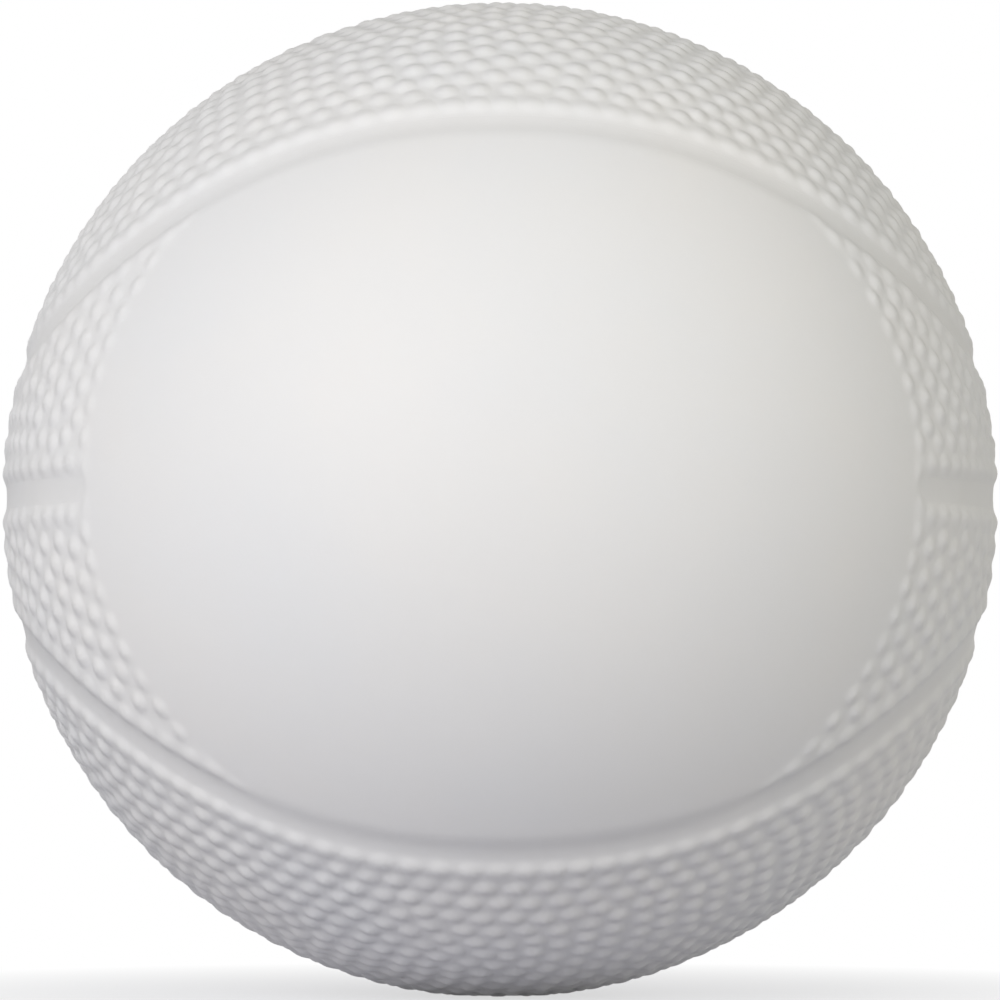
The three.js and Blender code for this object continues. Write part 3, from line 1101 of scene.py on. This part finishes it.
# %% [markdown]
# ## Black rubbers and thread
#
# The valve is soft black rubber, dulled by dust and polished where needles have gone in. The layers
# below the cover are never seen on a whole ball, but they are on a cut one: dark carcass rubber,
# cream thread soaked in cement, and a smooth butyl bladder. A Wave texture of scale 1 repeats every
# 0.314 metres, so the thread's width gives its scale.

# %% Black rubber and thread
WAVE_PERIOD = 0.314
THREAD_WIDTH = 0.5 * MM


def black_rubber(name, tone, bloom, rough, grain_size):
    """A black rubber with a paler bloom in patches."""
    finish = Finish(name)
    grain = finish.noise(grain_size, 3)
    patches = finish.noise(9 * MM, 3)
    colour = finish.blend(patches.over(0.4, 0.75) * 0.6, tone, bloom)
    roughness = rough + grain * 0.15 - patches * 0.08
    return finish.close(
        Base_Color=colour, Roughness=roughness, Normal=finish.bump(grain, 0.03 * MM, 0.5), IOR=1.52
    )


def wound_thread(name):
    """Bands of thread that cross in three directions, with cement on them in patches."""
    finish = Finish(name)
    scale = WAVE_PERIOD / THREAD_WIDTH
    bands = []
    for turn in ((0.4, 0.2, 0.0), (1.3, 0.5, 0.9), (0.2, 1.4, 2.1)):
        place = finish.add("ShaderNodeMapping", {}, {"Vector": finish.place, "Rotation": turn})
        inputs = {"Vector": place, "Scale": scale, "Distortion": 0.6, "Detail": 1.0}
        bands.append(finish.add("ShaderNodeTexWave", {"bands_direction": "X"}, inputs, 1))
    height = finish.calculate("MAXIMUM", bands[0], bands[1])
    height = finish.calculate("MAXIMUM", height, bands[2])
    cement = finish.noise(5 * MM, 4).over(0.45, 0.7)
    colour = finish.blend(height * 0.7, (0.42, 0.36, 0.24, 1), (0.70, 0.64, 0.50, 1))
    colour = finish.blend(cement * 0.4, colour, (0.55, 0.48, 0.33, 1))
    normal = finish.bump(height, 0.15 * MM, 0.8)
    return finish.close(Base_Color=colour, Roughness=0.75 - cement * 0.2, Normal=normal, IOR=1.5)


valve_rubber = black_rubber(
    "black_valve_rubber", (0.022, 0.022, 0.023, 1), (0.06, 0.058, 0.055, 1), 0.5, 0.3 * MM
)
carcass_rubber = black_rubber(
    "dark_carcass_rubber", (0.035, 0.033, 0.03, 1), (0.075, 0.07, 0.06, 1), 0.65, 0.8 * MM
)
bladder_rubber = black_rubber(
    "black_butyl", (0.015, 0.015, 0.016, 1), (0.035, 0.035, 0.036, 1), 0.35, 0.6 * MM
)
winding_thread = wound_thread("cemented_thread")
hidden_finishes = {"bladder": bladder_rubber, "winding": winding_thread, "carcass": carcass_rubber}
print("materials:", valve_rubber.name, *(material.name for material in hidden_finishes.values()))

# %% [markdown]
# ## Dressing the frame
#
# Every new piece takes its material, rides on the ball's one body, and stands for the solid of its
# node. The three layers below the cover are plain shells on the real ball too, so they keep their
# solids and get a material of their own.

# %% Dress
def dress(node, piece, material):
    piece.data.materials.append(material)
    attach(piece, "root")
    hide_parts(node)


for node, piece in covers.items():
    dress(node, piece, cover_rubber)
for node, piece in strips.items():
    dress(node, piece, seam_rubber)
dress("valve_housing", valve_housing, valve_rubber)
dress("valve_core", valve_core, valve_rubber)
for node, material in hidden_finishes.items():
    solid = frame["nodes"][node]
    for slot in solid.material_slots:
        slot.material = material
    print(node, "has", len(solid.material_slots), "material slot")

# %% [markdown]
# ## Camera
#
# The photograph was taken from far away with a long lens, level with the ball's middle and a touch
# below it. The ball fills the frame almost from edge to edge.

# %% Camera
CAMERA_DISTANCE = 12 * BALL_RADIUS
CAMERA_AZIMUTH = -0.38
CAMERA_ELEVATION = -2.1
FOCAL_LENGTH = 214.6
SENSOR_WIDTH = 36
CLIP_NEAR = 0.05
CLIP_FAR = 50


def stand_facing_ball(thing, azimuth, elevation, distance):
    """Puts a camera or a lamp at a place in degrees round the ball, aimed at its middle."""
    thing.location = Vector(direction(math.radians(azimuth), math.radians(elevation))) * distance
    thing.rotation_euler = (-thing.location).to_track_quat("-Z", "Y").to_euler()
    bpy.context.scene.collection.objects.link(thing)


camera_data = bpy.data.cameras.new("camera")
camera_data.lens = FOCAL_LENGTH
camera_data.sensor_width = SENSOR_WIDTH
camera_data.clip_start = CLIP_NEAR
camera_data.clip_end = CLIP_FAR
camera = bpy.data.objects.new("camera", camera_data)
stand_facing_ball(camera, CAMERA_AZIMUTH, CAMERA_ELEVATION, CAMERA_DISTANCE)
bpy.context.scene.camera = camera
bpy.context.scene.view_settings.view_transform = "Standard"
print("camera at", [round(part, 3) for part in camera.location])

# %% [markdown]
# ## Floor and background
#
# The ball stands on a pale floor in a white room. To the camera the room is plain white. The floor
# is too, but near the ball it mixes in real shading, so the ball's shadow stays. The rest of the
# light sees an ordinary pale floor and a nearly dark, warm room, so that the lamps shape the ball.

# %% Floor and room
FLOOR_SIZE = 12.0
FLOOR_COLOUR = (0.50, 0.50, 0.56, 1)
SHADOW_REACH = 0.12
SHADOW_CORE = 0.4
SHADOW_SHARE = 0.45
WHITE = (1, 1, 1, 1)

bm = bmesh.new()
bmesh.ops.create_grid(bm, x_segments=1, y_segments=1, size=FLOOR_SIZE / 2)
bmesh.ops.translate(bm, verts=bm.verts, vec=(0, 0, -base_radius))
floor_mesh = bpy.data.meshes.new("floor")
bm.to_mesh(floor_mesh)
bm.free()
floor = bpy.data.objects.new("floor", floor_mesh)
bpy.context.scene.collection.objects.link(floor)


def seen_directly(finish):
    """1 for the rays that should see a white room: the camera's, and those in gloss or glass."""
    direct, gloss, glass = (
        finish.add("ShaderNodeLightPath", {}, {}, f"Is {kind} Ray")
        for kind in ("Camera", "Glossy", "Transmission")
    )
    return finish.calculate("ADD", direct + gloss, glass, clamp=True)


paint = Finish("floor_paint")
distance = paint.add("ShaderNodeVectorMath", {"operation": "LENGTH"}, {0: paint.place}, 1)
shade_share = (1 - distance.over(SHADOW_CORE * SHADOW_REACH, SHADOW_REACH)) * SHADOW_SHARE
shaded = 1 - seen_directly(paint) * (1 - shade_share)
matt = paint.add("ShaderNodeBsdfDiffuse", {}, {"Color": FLOOR_COLOUR})
plain = paint.add("ShaderNodeEmission", {}, {"Color": WHITE, "Strength": 1.0})
surface = paint.add("ShaderNodeMixShader", {}, {0: shaded, 1: plain, 2: matt})
paint.add("ShaderNodeOutputMaterial", {}, {"Surface": surface})
floor.data.materials.append(paint.material)
print("floor at", round(-base_radius / MM, 2), "mm")

# %% [markdown]
# ## The room's light
#
# The world needs the same split: white at full strength for the rays that should see a white room,
# and a dim warm light for all others. Its nodes come from the same method as a material's.

# %% Room light
ROOM_LIGHT = 0.02
ROOM_COLOUR = (1, 0.88, 0.6, 1)


class Room(Finish):
    """The world's nodes, written like a material's."""

    def __init__(self, world):
        world.use_nodes = True
        self.tree = world.node_tree
        self.tree.nodes.clear()


world = bpy.data.worlds.new("room")
bpy.context.scene.world = world
room = Room(world)
white_share = seen_directly(room)
strength = ROOM_LIGHT + white_share * (1 - ROOM_LIGHT)
colour = room.blend(white_share, ROOM_COLOUR, WHITE)
backdrop = room.add("ShaderNodeBackground", {}, {"Color": colour, "Strength": strength})
room.add("ShaderNodeOutputWorld", {}, {"Surface": backdrop})
print("room light", ROOM_LIGHT)

# %% [markdown]
# ## Studio light
#
# The ball is lit by one broad soft light from the front, a little high and to the left, and a
# weaker and warmer one from the right, so its lower right falls off gently. A third light behind the
# ball shows its back and doesn't reach the front. Sizes are in metres, and powers in watts.

# %% Lamps
LAMP_DISTANCE = 1.5


def soft_light(name, azimuth, elevation, size, power, colour):
    """A square lamp that faces the ball from a place in degrees."""
    data = bpy.data.lights.new(name, "AREA")
    data.shape = "SQUARE"
    data.size = size
    data.energy = power
    data.color = colour
    stand_facing_ball(bpy.data.objects.new(name, data), azimuth, elevation, LAMP_DISTANCE)


soft_light("key", -31, 20, 1.4, 24.4, (1.0, 0.998, 0.997))
soft_light("fill", 67, 15, 1.2, 10.8, (1.0, 0.987, 0.89))
soft_light("rear", 180, 3, 0.4, 12.0, (1.0, 0.99, 0.98))
print("lamps:", [lamp.name for lamp in bpy.data.lights])

# %% Finish
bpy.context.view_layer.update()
